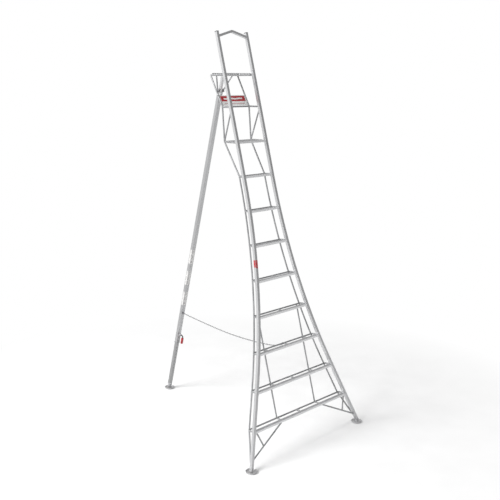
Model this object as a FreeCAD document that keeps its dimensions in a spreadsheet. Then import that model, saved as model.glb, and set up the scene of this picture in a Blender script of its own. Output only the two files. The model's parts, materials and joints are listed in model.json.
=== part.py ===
import FreeCAD, Part
import math
import os
import Sketcher
from FreeCAD import Placement, Rotation, Vector

# Orchard tripod ladder, standing open on level ground. Millimetres.
# World frame: +X to the climber's right, +Y from the climber towards the third
# leg, +Z up. The origin is on the ground, midway between the front feet and the
# rear foot. The ladder frame leans back and the third leg leans forward by the
# same angle, so both meet the ground half_spread from the origin.

doc = FreeCAD.newDocument("TripodLadder")
sheet = doc.addObject("Spreadsheet::Sheet", "Sizes")

SIZES = [
    ("half_spread", 955.5), ("lean", 15), ("tread_pitch", 300),
    ("stile_width", 25), ("stile_depth", 25), ("stile_wall", 2),
    ("stile_start", 62), ("stile_end", 3660), ("stile_half_gap", 175.5),
    ("bend_radius", 5098), ("bend_angle", 19.86), ("bend_end", 2367),
    ("rail_depth", 30), ("rail_height", 20), ("rail_wall", 1.8),
    ("rail_front", 12.5), ("rib_height", 1.2), ("rib_pitch", 5),
    ("rod_radius", 7), ("side_rod_shift", 5), ("strut_radius", 6.5), ("rod_bend", 22),
    ("tread_rod_back", 70.3), ("platform_back", 169), ("knee_back", 113),
    ("tray_back", 188), ("tray_drop", 12), ("knee_rise", 6),
    ("rod_inset", 4), ("side_rod_inset", 20), ("corner_inset", 13),
    ("strut_offset", 250), ("slat_gap", 12), ("side_rod_foot", 72), ("side_rod_bend", 30),
    ("brace_offset", 258), ("brace_foot", 84), ("brace_strut_top", 574),
    ("brace_strut_foot", 520),
    ("handrail_end", 3624), ("handrail_rise", 46), ("handrail_depth", 22),
    ("handrail_height", 20), ("handrail_wall", 2), ("handrail_bend", 40),
    ("tray_floor", 2), ("tray_rim", 24), ("tray_hole", 14), ("tray_hole_pitch", 26),
    ("plate_thick", 2), ("plate_height", 100), ("plate_low", 16),
    ("pivot_height", 3035), ("post_width", 24), ("post_depth", 22),
    ("post_strut_spread", 98), ("strut_eye_radius", 9.5), ("strut_eye_width", 18),
    ("bolt_radius", 5), ("running_gap", 0.05), ("clear_gap", 0.3),
    ("leg_width", 40), ("leg_depth", 30), ("leg_wall", 1.7), ("leg_top", 26),
    ("leg_length", 2598), ("ear_length", 38), ("window_length", 90),
    ("inner_width", 36), ("inner_depth", 26), ("inner_wall", 2),
    ("inner_start", 1943), ("inner_end", 3078), ("hole_pitch", 40),
    ("hole_radius", 4.5), ("lock_depth", 2490), ("retract_holes", 11),
    ("extend_holes", 9), ("pin_radius", 4), ("pin_rest_gap", 0.5),
    ("housing_radius", 9.5), ("housing_length", 24.5), ("chamber_radius", 7),
    ("collar_stand", 6.5), ("collar_thick", 3), ("spring_wire", 0.6),
    ("handle_reach", 68), ("handle_drop", 79), ("handle_bend", 9),
    ("grip_radius", 12.5), ("grip_length", 66), ("handle_radius", 6),
    ("handle_stand", 7), ("bush_thick", 1.2), ("bush_length", 10),
    ("foot_radius", 51), ("foot_thick", 4), ("foot_rim", 13),
    ("ankle_height", 28), ("ankle_pin", 4), ("lug_radius", 9), ("lug_width", 12),
    ("clevis_drop", 12), ("clevis_rise", 10.5), ("plug_length", 45),
    ("chain_radius", 4.5), ("eye_radius", 10), ("eye_wire", 4.5), ("leg_eye_height", 862),
    ("clip_offset", 14),
]
size = {}
for row, (alias, value) in enumerate(SIZES, start=1):
    sheet.set("A%d" % row, alias)
    sheet.set("B%d" % row, str(value))
    sheet.setAlias("B%d" % row, alias)
    size[alias] = float(value)
doc.recompute()

LEAN = math.radians(size["lean"])
BEND = math.radians(size["bend_angle"])
BEND_START = size["bend_end"] - size["bend_radius"] * math.sin(BEND)
TREADS = range(1, 10)
PLATFORM, KNEE, TRAY = 9, 10, 11
BIG = 1200.0

nodes = {}


def cell(alias):
    return "Sizes." + alias


def keep(label, obj):
    """Name a finished sub-part; its label is its file name."""
    obj.Label = label
    nodes[label] = obj
    return obj


def bind(obj, **sizes):
    for prop, expression in sizes.items():
        obj.setExpression(prop, expression)
    return obj


# ---------------------------------------------------------------- geometry

def half_width(along):
    """Half distance between the stile centrelines at a place along the slope."""
    below = size["bend_end"] - along
    if below <= 0:
        return size["stile_half_gap"]
    reach = size["bend_radius"] * math.sin(BEND)
    bent = min(below, reach)
    arc = size["bend_radius"] - math.sqrt(size["bend_radius"] ** 2 - bent ** 2)
    return size["stile_half_gap"] + arc + max(below - reach, 0) * math.tan(BEND)


def on_frame(x, along, normal=0.0):
    """World point from ladder-frame coordinates: up the slope, then rearward."""
    y = -size["half_spread"] + along * math.sin(LEAN) + normal * math.cos(LEAN)
    return Vector(x, y, along * math.cos(LEAN) - normal * math.sin(LEAN))


def on_leg(x, y, depth):
    """World point from third-leg coordinates, depth below the hinge bolt."""
    return LEG_PLACE.multVec(Vector(x, y, -depth))


def level_height(level):
    """Height of a tread, or of a frame bar above the platform."""
    rise = {KNEE: size["knee_rise"], TRAY: -size["tray_drop"]}.get(level, 0.0)
    return level * size["tread_pitch"] * math.cos(LEAN) + rise


def slope_y(height):
    """Where the stile centre plane is at a height."""
    return -size["half_spread"] + height * math.tan(LEAN)


FRAME_PLACE = Placement(on_frame(0, 0), Rotation(Vector(1, 0, 0), -size["lean"]))
PIVOT = Vector(0, size["half_spread"] - size["pivot_height"] * math.tan(LEAN),
               size["pivot_height"])
LEG_PLACE = Placement(PIVOT, Rotation(Vector(1, 0, 0), size["lean"]))
REAR_DEPTH = {level: size["tread_rod_back"] for level in range(1, 9)}
REAR_DEPTH.update({PLATFORM: size["platform_back"], KNEE: size["knee_back"],
                   TRAY: size["tray_back"]})


def rear_corner(side, level):
    """Where a side rod meets the rear rod of a level."""
    height = level_height(level)
    if level < PLATFORM:
        inset = size["side_rod_inset"]
    else:
        inset = size["corner_inset"]
    x = half_width(height / math.cos(LEAN)) - inset
    return Vector(side * x, slope_y(height) + REAR_DEPTH[level] + size["side_rod_shift"],
                  height)


# ---------------------------------------------------------------- document helpers

def new_body(name, place):
    body = doc.addObject("PartDesign::Body", name)
    body.Placement = place
    return body


def new_sketch(body, role, name):
    sketch = body.newObject("Sketcher::SketchObject", name)
    plane = [f for f in body.Origin.OriginFeatures if f.Role == role][0]
    sketch.AttachmentSupport = [(plane, "")]
    sketch.MapMode = "FlatFace"
    return sketch


def sheet_value(expression):
    """The value that an expression on the sheet has now."""
    return float(sheet.evalExpression(str(expression).replace("Sizes.", "")))


def add_rectangle(sketch, left, bottom, right, top):
    """A rectangle whose four edges are set by expressions from the sheet."""
    values = [sheet_value(e) for e in (left, bottom, right, top)]
    x1, y1, x2, y2 = values
    corners = [Vector(x1, y1, 0), Vector(x2, y1, 0), Vector(x2, y2, 0), Vector(x1, y2, 0)]
    first = sketch.GeometryCount
    for i in range(4):
        sketch.addGeometry(Part.LineSegment(corners[i], corners[(i + 1) % 4]), False)
    for i in range(4):
        sketch.addConstraint(Sketcher.Constraint("Coincident", first + i, 2,
                                                 first + (i + 1) % 4, 1))
    for i, kind in enumerate(("Horizontal", "Vertical", "Horizontal", "Vertical")):
        sketch.addConstraint(Sketcher.Constraint(kind, first + i))
    for geo, axis, value, expression in (
            (first, "DistanceX", x1, left), (first, "DistanceY", y1, bottom),
            (first + 2, "DistanceX", x2, right), (first + 2, "DistanceY", y2, top)):
        index = sketch.addConstraint(Sketcher.Constraint(axis, -1, 1, geo, 1, value))
        sketch.setExpression("Constraints[%d]" % index, expression)


def add_circle(sketch, x, y, radius):
    """A circle whose centre and radius are expressions from the sheet."""
    cx, cy, r = (sheet_value(e) for e in (x, y, radius))
    index = sketch.addGeometry(Part.Circle(Vector(cx, cy, 0), Vector(0, 0, 1), r), False)
    number = sketch.addConstraint(Sketcher.Constraint("Radius", index, r))
    sketch.setExpression("Constraints[%d]" % number, radius)
    for axis, value, expression in (("DistanceX", cx, x), ("DistanceY", cy, y)):
        if abs(value) < 1e-9:
            on_axis = -2 if axis == "DistanceX" else -1
            sketch.addConstraint(Sketcher.Constraint("PointOnObject", index, 3, on_axis))
            continue
        number = sketch.addConstraint(Sketcher.Constraint(axis, -1, 1, index, 3, value))
        sketch.setExpression("Constraints[%d]" % number, expression)


def add_outline(sketch, edges):
    for edge in edges:
        sketch.addGeometry(edge, False)


def polygon(points):
    vectors = [Vector(x, y, 0) for x, y in points]
    return [Part.LineSegment(a, b) for a, b in zip(vectors, vectors[1:] + vectors[:1])]


def pad(body, sketch, length, symmetric=True, flip=False):
    feature = body.newObject("PartDesign::Pad", sketch.Name + "Pad")
    feature.Profile = sketch
    feature.setExpression("Length", length)
    feature.Reversed = flip
    if symmetric:
        feature.SideType = "Symmetric"
    sketch.Visibility = False
    return feature


def pocket(body, sketch, length, symmetric=True, flip=False):
    feature = body.newObject("PartDesign::Pocket", sketch.Name + "Pocket")
    feature.Profile = sketch
    feature.setExpression("Length", length)
    feature.Reversed = flip
    if symmetric:
        feature.SideType = "Symmetric"
    sketch.Visibility = False
    return feature


def revolve(body, sketch, axis):
    feature = body.newObject("PartDesign::Revolution", sketch.Name + "Turn")
    feature.Profile = sketch
    feature.ReferenceAxis = (sketch, [axis])
    feature.Angle = 360
    sketch.Visibility = False
    return feature


def cut(name, base, *tools):
    """Take one or more tools away from a part, one after the other."""
    for number, tool in enumerate(tools):
        result = doc.addObject("Part::Cut", "%s_cut%d" % (name, number))
        result.Base = base
        result.Tool = tool
        base = result
    return base


def compound(name, parts):
    group = doc.addObject("Part::Compound", name)
    group.Links = list(parts)
    return group


def mirror(name, source):
    """The same part on the ladder's other side."""
    twin = doc.addObject("Part::Mirroring", name)
    twin.Source = source
    twin.Normal = Vector(1, 0, 0)
    twin.Base = Vector(0, 0, 0)
    return twin


def box(name, corner_low, corner_high, place=Placement()):
    solid = doc.addObject("Part::Box", name)
    solid.Length, solid.Width, solid.Height = corner_high - corner_low
    solid.Placement = place.multiply(Placement(corner_low, Rotation()))
    return solid


def cylinder(name, start, end, radius):
    """A round bar between two world points; its radius is an expression."""
    bar = doc.addObject("Part::Cylinder", name)
    bar.setExpression("Radius", radius)
    bar.Height = (end - start).Length
    bar.Placement = Placement(start, Rotation(Vector(0, 0, 1), end - start))
    return bar


def fuse(name, parts):
    whole = doc.addObject("Part::MultiFuse", name)
    whole.Shapes = list(parts)
    return whole


# ---------------------------------------------------------------- stiles

def stile_edges(half, low, high):
    """Outline of the right stile, half wide each side of its centreline."""
    radius = size["bend_radius"]
    centre = Vector(size["stile_half_gap"] + radius, size["bend_end"], 0)
    straight = Vector(math.sin(BEND), -math.cos(BEND), 0)
    out = Vector(math.cos(BEND), math.sin(BEND), 0)
    knee = Vector(half_width(BEND_START), BEND_START, 0)
    foot = knee + straight * ((BEND_START - low) / math.cos(BEND))
    edges = []
    ends = []
    for offset in (half, -half):
        bottom, bend = foot + out * offset, knee + out * offset
        top = Vector(size["stile_half_gap"] + offset, size["bend_end"], 0)
        end = Vector(top.x, high, 0)
        circle = Part.Circle(centre, Vector(0, 0, 1), radius - offset)
        arc = Part.ArcOfCircle(circle, math.pi, math.pi + BEND)
        edges += [Part.LineSegment(bottom, bend), arc, Part.LineSegment(top, end)]
        ends.append((bottom, end))
    edges.append(Part.LineSegment(ends[0][0], ends[1][0]))
    edges.append(Part.LineSegment(ends[0][1], ends[1][1]))
    return edges


def make_stiles():
    """Two square tubes, parallel above the treads' bend and splayed below it."""
    body = new_body("RightStile", FRAME_PLACE)
    low, high = size["stile_start"], size["stile_end"]
    outline = new_sketch(body, "XZ_Plane", "StileOutline")
    add_outline(outline, stile_edges(size["stile_width"] / 2, low, high))
    pad(body, outline, cell("stile_depth"))
    bore = new_sketch(body, "XZ_Plane", "StileBore")
    inner = size["stile_width"] / 2 - size["stile_wall"]
    add_outline(bore, stile_edges(inner, low - 10, high + 10))
    pocket(body, bore, "Sizes.stile_depth - 2 * Sizes.stile_wall")
    keep("right_stile", body)
    keep("left_stile", mirror("LeftStile", body))


def make_templates():
    """Cutting shapes: all outside the stiles' inner faces, and the stiles' slab."""
    body = new_body("OutsideRight", FRAME_PLACE)
    sketch = new_sketch(body, "XZ_Plane", "OutsideOutline")
    half = size["stile_width"] / 2
    centre = Vector(size["stile_half_gap"] + size["bend_radius"], size["bend_end"], 0)
    low, high = -50.0, size["stile_end"]
    normal = Vector(math.cos(BEND), math.sin(BEND), 0)
    knee = Vector(half_width(BEND_START), BEND_START, 0) - normal * half
    foot = knee + Vector(math.sin(BEND), -math.cos(BEND), 0) * (BEND_START - low)
    top = Vector(size["stile_half_gap"] - half, size["bend_end"], 0)
    end, corner = Vector(top.x, high, 0), Vector(BIG, high, 0)
    low_corner = Vector(BIG, foot.y, 0)
    circle = Part.Circle(centre, Vector(0, 0, 1), size["bend_radius"] + half)
    add_outline(sketch, [
        Part.LineSegment(foot, knee),
        Part.ArcOfCircle(circle, math.pi, math.pi + BEND),
        Part.LineSegment(top, end), Part.LineSegment(end, corner),
        Part.LineSegment(corner, low_corner), Part.LineSegment(low_corner, foot)])
    pad(body, sketch, "20 * Sizes.stile_depth")
    outside = compound("OutsideStiles", [body, mirror("OutsideLeft", body)])
    slab = box("StileSlab", Vector(-BIG, -BIG, -BIG),
               Vector(BIG, size["stile_depth"] / 2, 5 * BIG), FRAME_PLACE)
    return outside, slab


# ---------------------------------------------------------------- treads

def rail_profile(front):
    """Closed outline of a tread rail: flat box with anti-slip ribs on top."""
    back = front + size["rail_depth"]
    half = size["rail_height"] / 2
    floor = half - size["rib_height"]
    edge = 1.5
    points = [(front + edge, -half), (back - edge, -half), (back, -half + edge), (back, floor)]
    ribs = int(size["rail_depth"] / size["rib_pitch"])
    for number in range(ribs):
        right = back - number * size["rib_pitch"] - 1.0
        points += [(right, floor), (right - 0.6, half),
                   (right - 2.4, half), (right - 3.0, floor)]
    points += [(front, floor), (front, -half + edge)]
    return points


def rail(name, level, front, half_length):
    """A ribbed hollow rail lying level at a tread's height."""
    height = level_height(level)
    body = new_body(name, Placement(Vector(0, slope_y(height), height), Rotation()))
    outline = new_sketch(body, "YZ_Plane", name + "Profile")
    add_outline(outline, polygon(rail_profile(front)))
    feature = pad(body, outline, cell("stile_half_gap"))
    feature.setExpression("Length", None)
    feature.Length = 2 * half_length
    bore = new_sketch(body, "YZ_Plane", name + "Bore")
    edge = "%.3f" % front
    add_rectangle(bore, edge + " + Sizes.rail_wall",
                  "Sizes.rail_wall - Sizes.rail_height / 2",
                  edge + " + Sizes.rail_depth - Sizes.rail_wall",
                  "Sizes.rail_height / 2 - Sizes.rib_height - Sizes.rail_wall")
    hole = pocket(body, bore, cell("stile_half_gap"))
    hole.setExpression("Length", None)
    hole.Length = 2 * half_length + 10
    return body


def rear_rod(name, level):
    """A round bar along the back of a level, bent forward to meet both stiles."""
    height = level_height(level)
    half = half_width(height / math.cos(LEAN)) - size["rod_inset"]
    back, bend = REAR_DEPTH[level], size["rod_bend"]
    body = new_body(name, Placement(Vector(0, slope_y(height), height), Rotation()))
    path = new_sketch(body, "XY_Plane", name + "Path")
    left, right = Vector(-half, 0, 0), Vector(half, 0, 0)
    up = Vector(0, back - bend, 0)
    left_centre, right_centre = left + up + Vector(bend, 0, 0), right + up - Vector(bend, 0, 0)
    left_turn = Part.Circle(left_centre, Vector(0, 0, 1), bend)
    right_turn = Part.Circle(right_centre, Vector(0, 0, 1), bend)
    top = Vector(0, bend, 0)
    add_outline(path, [
        Part.LineSegment(left, left + up),
        Part.ArcOfCircle(left_turn, math.pi / 2, math.pi),
        Part.LineSegment(left_centre + top, right_centre + top),
        Part.ArcOfCircle(right_turn, 0, math.pi / 2),
        Part.LineSegment(right + up, right)])
    section = new_sketch(body, "XZ_Plane", name + "Section")
    add_circle(section, "%.4f" % -half, "0", cell("rod_radius"))
    pipe = body.newObject("PartDesign::AdditivePipe", name + "Pipe")
    pipe.Profile = section
    pipe.Spine = path
    path.Visibility = section.Visibility = False
    return body


def make_treads(outside, slab, side_rods):
    """Nine level treads, a rail and a rear rod each; the ninth is the platform."""
    rods = {}
    for level in list(TREADS) + [KNEE, TRAY]:
        raw = rear_rod("Rod%d" % level, level)
        rods[level] = cut("RearRod%d" % level, raw, slab, side_rods)
    for level in TREADS:
        reach = half_width((level - 0.2) * size["tread_pitch"])
        raw = rail("Rail%d" % level, level, -size["rail_front"], reach)
        label = "platform_rail" if level == PLATFORM else "tread_%d" % level
        keep(label, cut("CutRail%d" % level, raw, outside))
    for level in range(1, PLATFORM):
        keep("tread_%d_rod" % level, rods[level])
    keep("platform_rod", rods[PLATFORM])
    keep("knee_frame", rods[KNEE])
    keep("tray_frame", rods[TRAY])

    slats = []
    pitch = size["rail_depth"] + size["slat_gap"]
    reach = size["stile_half_gap"] - size["rod_inset"] - size["rod_radius"]
    for number in (1, 2, 3):
        front = number * pitch - size["rail_front"]
        slats.append(rail("Slat%d" % number, PLATFORM, front, reach))
    keep("platform_slats", compound("PlatformSlats", slats))
    return rods


# ---------------------------------------------------------------- round bars

def turn_at(before, at, after):
    """The angle a path turns through at one of its corners."""
    return (at - before).getAngle(after - at)


def rounded_path(points, trims):
    """Edges along points, each corner cut back by its trim and replaced by a tangent arc."""
    edges = []
    start = points[0]
    for before, at, after, trim in zip(points, points[1:], points[2:], trims):
        into, out = (at - before).normalize(), (after - at).normalize()
        half_turn = turn_at(before, at, after) / 2
        first, last = at - into * trim, at + out * trim
        depth = trim / math.tan(half_turn) * (1 / math.cos(half_turn) - 1)
        middle = at + (out - into).normalize() * depth
        edges.append(Part.LineSegment(start, first).toShape())
        edges.append(Part.Arc(first, middle, last).toShape())
        start = last
    edges.append(Part.LineSegment(start, points[-1]).toShape())
    return edges


def swept_bar(name, edges, radius):
    """A round bar along a chain of tangent edges."""
    spine = doc.addObject("Part::Feature", name + "Spine")
    spine.Shape = Part.Wire(edges)
    ring = doc.addObject("Part::Circle", name + "Ring")
    ring.setExpression("Radius", radius)
    start = edges[0].valueAt(edges[0].FirstParameter)
    toward = edges[0].tangentAt(edges[0].FirstParameter)
    ring.Placement = Placement(start, Rotation(Vector(0, 0, 1), toward))
    bar = doc.addObject("Part::Sweep", name)
    bar.Sections = [ring]
    bar.Spine = (spine, ["Edge%d" % number for number in range(1, len(edges) + 1)])
    bar.Solid = True
    bar.Frenet = False
    return bar


def bent_side_rod(side):
    """One bent bar from above the foot, past every level's rear corner, to the tray."""
    back = (REAR_DEPTH[1] + size["side_rod_shift"]) * math.cos(LEAN)
    inside = size["stile_half_gap"] - size["side_rod_inset"]
    reach = size["bend_radius"] + size["side_rod_inset"]
    foot = on_frame(side * half_width(size["side_rod_foot"]), size["side_rod_foot"],
                    (size["stile_depth"] + size["rod_radius"]) / 2)
    knuckle = on_frame(side * inside, size["bend_end"] - reach * math.tan(BEND / 2), back)
    points = [foot, rear_corner(side, 1), knuckle, rear_corner(side, 8)]
    points += [rear_corner(side, level) for level in (PLATFORM, KNEE, TRAY)]
    bend = size["side_rod_bend"]
    radii = [bend, reach, bend, bend, bend]
    trims = [radius * math.tan(turn_at(*points[at:at + 3]) / 2)
             for at, radius in enumerate(radii)]
    name = "SideRod%s" % ("Right" if side > 0 else "Left")
    return swept_bar(name, rounded_path(points, trims), cell("rod_radius"))


def make_centre_struts(rods):
    """Two upright bars behind the four widest treads, in lengths between rods."""
    back = REAR_DEPTH[1] * math.cos(LEAN)
    low, high = (level_height(k) / math.cos(LEAN) + REAR_DEPTH[1] * math.sin(LEAN)
                 for k in (1, 4))
    tools = compound("LowRods", [rods[level] for level in (1, 2, 3, 4)])
    for side, label in ((-1, "left_centre_strut"), (1, "right_centre_strut")):
        x = side * size["strut_offset"]
        bar = cylinder(label + "Bar", on_frame(x, low, back), on_frame(x, high, back),
                       cell("strut_radius"))
        keep(label, cut(label + "Cut", bar, tools))
    return tools


def make_tread_ties(rods):
    """Short bars from each wide tread's rail to its rear rod."""
    bars = []
    offset = size["strut_offset"]
    places = {1: (-offset, 0, offset), 2: (-offset, 0, offset), 3: (-offset, 0, offset),
              4: (0,), 5: (0,)}
    start = size["rail_depth"] - size["rail_front"]
    for level, xs in places.items():
        height = level_height(level)
        for x in xs:
            a = Vector(x, slope_y(height) + start, height)
            b = Vector(x, slope_y(height) + REAR_DEPTH[level], height)
            bars.append(cylinder("Tie%d" % len(bars), a, b, cell("strut_radius")))
    rods_met = compound("TiedRods", [rods[level] for level in places])
    keep("tread_ties", cut("TreadTies", compound("TieBars", bars), rods_met,
                           nodes["left_centre_strut"], nodes["right_centre_strut"]))


def make_braces(outside):
    """A diagonal and a short strut under the first tread, each side."""
    first = level_height(1)
    y = slope_y(first)
    low = first - size["rail_height"] / 2
    rail_space = box("RailSpace", Vector(-BIG, y - size["rail_front"], low),
                     Vector(BIG, y + size["rail_depth"], first + 60))
    under = (first - size["rail_height"] / 2) / math.cos(LEAN)
    for side, label in ((-1, "left_brace"), (1, "right_brace")):
        foot = on_frame(side * half_width(size["brace_foot"]), size["brace_foot"])
        head = on_frame(side * size["brace_offset"], under + 6)
        join = foot + (head - foot) * ((half_width(size["brace_foot"])
                                        - size["brace_strut_foot"])
                                       / (half_width(size["brace_foot"])
                                          - size["brace_offset"]))
        corner = on_frame(side * size["brace_strut_top"], under + 6)
        diagonal = cylinder(label + "Diagonal", foot, head, cell("strut_radius"))
        strut = cylinder(label + "Strut", join, corner, cell("strut_radius"))
        whole = fuse(label + "Rods", [diagonal, strut])
        keep(label, cut(label + "Cut", whole, outside, rail_space))


def make_knee_struts(rods, slab, side_rods):
    """Two bars from the stiles at knee height down to the platform's corners."""
    bars = []
    knee = (level_height(KNEE) - size["rod_radius"] * 2) / math.cos(LEAN)
    for side in (-1, 1):
        head = on_frame(side * (size["stile_half_gap"] - size["rod_inset"]), knee)
        bars.append(cylinder("KneeStrut%d" % side, head, rear_corner(side, PLATFORM),
                             cell("strut_radius")))
    keep("knee_struts", cut("KneeStruts", compound("KneeBars", bars), slab, side_rods,
                            rods[PLATFORM]))


def make_handrail():
    """A box bar between the stile tops, raised to a rounded peak in the middle."""
    body = new_body("Handrail", FRAME_PLACE)
    half = size["stile_half_gap"] - size["stile_width"] / 2
    slope = math.atan2(size["handrail_rise"], half)

    def edges(thick, reach):
        outline = []
        ends = []
        for offset in (thick, -thick):
            radius = size["handrail_bend"] + offset
            crown = size["handrail_end"] + size["handrail_rise"]
            centre_y = crown - size["handrail_bend"] / math.cos(slope)
            centre = Vector(0, centre_y, 0)
            right = centre + Vector(math.sin(slope), math.cos(slope), 0) * radius
            run = (reach - right.x) / math.cos(slope)
            end = right + Vector(math.cos(slope), -math.sin(slope), 0) * run
            circle = Part.Circle(centre, Vector(0, 0, 1), radius)
            outline.append(Part.ArcOfCircle(circle, math.pi / 2 - slope, math.pi / 2 + slope))
            for sign in (1, -1):
                a, b = Vector(sign * right.x, right.y, 0), Vector(sign * end.x, end.y, 0)
                outline.append(Part.LineSegment(a, b))
            ends.append(end)
        for sign in (1, -1):
            a, b = (Vector(sign * e.x, e.y, 0) for e in ends)
            outline.append(Part.LineSegment(a, b))
        return outline

    outer = new_sketch(body, "XZ_Plane", "HandrailOutline")
    add_outline(outer, edges(size["handrail_height"] / 2, half))
    pad(body, outer, cell("handrail_depth"))
    bore = new_sketch(body, "XZ_Plane", "HandrailBore")
    add_outline(bore, edges(size["handrail_height"] / 2 - size["handrail_wall"], half + 5))
    pocket(body, bore, "Sizes.handrail_depth - 2 * Sizes.handrail_wall")
    keep("handrail", body)


def make_caps():
    """Moulded caps that plug the tops of both stiles."""
    body = new_body("RightCap", FRAME_PLACE.multiply(
        Placement(Vector(size["stile_half_gap"], 0, size["stile_end"]), Rotation())))
    head = new_sketch(body, "XY_Plane", "CapHead")
    half = "(Sizes.stile_width / 2 + 0.5)"
    add_rectangle(head, "-" + half, "-" + half, half, half)
    pad(body, head, "5", symmetric=False)
    stem = new_sketch(body, "XY_Plane", "CapStem")
    inner = "(Sizes.stile_width / 2 - Sizes.stile_wall)"
    add_rectangle(stem, "-" + inner, "-" + inner, inner, inner)
    pad(body, stem, "22", symmetric=False, flip=True)
    keep("stile_caps", compound("StileCaps", [body, mirror("LeftCap", body)]))


# ---------------------------------------------------------------- tray and name plate

def make_tray():
    """A perforated tray pan that lies in the top frame."""
    height = level_height(TRAY)
    rear = REAR_DEPTH[TRAY] - size["rod_radius"]
    front = size["stile_depth"] / 2 / math.cos(LEAN) + 10
    half = size["stile_half_gap"] - size["rod_inset"] - size["rod_radius"] - 0.5
    corner = 15.0
    body = new_body("Tray", Placement(Vector(0, slope_y(height), height - 8), Rotation()))

    def pan(inset):
        x, y1, y2 = half - inset, front + inset, rear - 0.5 - inset
        r = corner - inset
        right = Part.Circle(Vector(x - r, y2 - r, 0), Vector(0, 0, 1), r)
        left = Part.Circle(Vector(r - x, y2 - r, 0), Vector(0, 0, 1), r)
        return [Part.LineSegment(Vector(-x, y1, 0), Vector(x, y1, 0)),
                Part.LineSegment(Vector(x, y1, 0), Vector(x, y2 - r, 0)),
                Part.ArcOfCircle(right, 0, math.pi / 2),
                Part.LineSegment(Vector(x - r, y2, 0), Vector(r - x, y2, 0)),
                Part.ArcOfCircle(left, math.pi / 2, math.pi),
                Part.LineSegment(Vector(-x, y2 - r, 0), Vector(-x, y1, 0))]

    outline = new_sketch(body, "XY_Plane", "TrayOutline")
    add_outline(outline, pan(0))
    pad(body, outline, cell("tray_rim"), symmetric=False)
    well = new_sketch(body, "XY_Plane", "TrayWell")
    well.AttachmentOffset = Placement(Vector(0, 0, size["tray_floor"]), Rotation())
    add_rectangle(well, "%.3f" % (-half - 1), "%.3f + Sizes.tray_floor" % front,
                  "%.3f" % (half + 1), "%.3f - Sizes.tray_floor" % (rear - 0.5))
    pocket(body, well, cell("tray_rim"), symmetric=False, flip=True)

    slots = new_sketch(body, "XY_Plane", "TraySlots")
    pitch, slot_half, slot_radius = 36.0, 40.0, 5.0
    for x in (-92.0, 0.0, 92.0):
        for number in range(4):
            y = front + 26 + number * pitch
            for sign, turn in ((1, -math.pi / 2), (-1, math.pi / 2)):
                circle = Part.Circle(Vector(x + sign * (slot_half - slot_radius), y, 0),
                                     Vector(0, 0, 1), slot_radius)
                slots.addGeometry(Part.ArcOfCircle(circle, turn, turn + math.pi), False)
                a = Vector(x - slot_half + slot_radius, y + sign * slot_radius, 0)
                b = Vector(x + slot_half - slot_radius, y + sign * slot_radius, 0)
                slots.addGeometry(Part.LineSegment(a, b), False)
    pocket(body, slots, "3 * Sizes.tray_floor")

    rim = new_sketch(body, "XZ_Plane", "RimHoles")
    count = int((half - corner) / size["tray_hole_pitch"])
    for number in range(-count, count + 1):
        add_circle(rim, "%d * Sizes.tray_hole_pitch" % number, "Sizes.tray_rim / 2 + 1",
                   "Sizes.tray_hole / 2")
    holes = pocket(body, rim, "%.3f" % (rear + 10), symmetric=False)
    holes.Reversed = False
    keep("tool_tray", body)


def make_name_plate():
    """A plain plate between the side rods above the knee bar."""
    low, high = rear_corner(1, KNEE), rear_corner(1, TRAY)
    up = Vector(0, high.y - low.y, high.z - low.z)
    turn = Rotation(Vector(0, 0, 1), up)
    base = Vector(0, low.y, low.z)
    place = Placement(base, turn)
    half = low.x - size["rod_radius"] - 0.5
    start = size["rod_radius"] + size["plate_low"] / 4
    body = new_body("NamePlate", place)
    outline = new_sketch(body, "XZ_Plane", "PlateOutline")
    add_rectangle(outline, "%.3f" % -half, "%.3f" % start, "%.3f" % half,
                  "%.3f + Sizes.plate_height" % start)
    pad(body, outline, cell("plate_thick"))
    keep("name_plate", body)
    clips = []
    for side in (-1, 1):
        for part_up in (0.18, 0.82):
            along = start + size["plate_height"] * part_up
            a = place.multVec(Vector(side * (half - 4), 0, along))
            rod = place.multVec(Vector(side * (half - 4), -3.2, along))
            clips.append(cylinder("Clip%d" % len(clips), a + (rod - a) * 0.32, rod, "3"))
    keep("plate_rivets", compound("PlateRivets", clips))


# ---------------------------------------------------------------- hinge at the top

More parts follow.
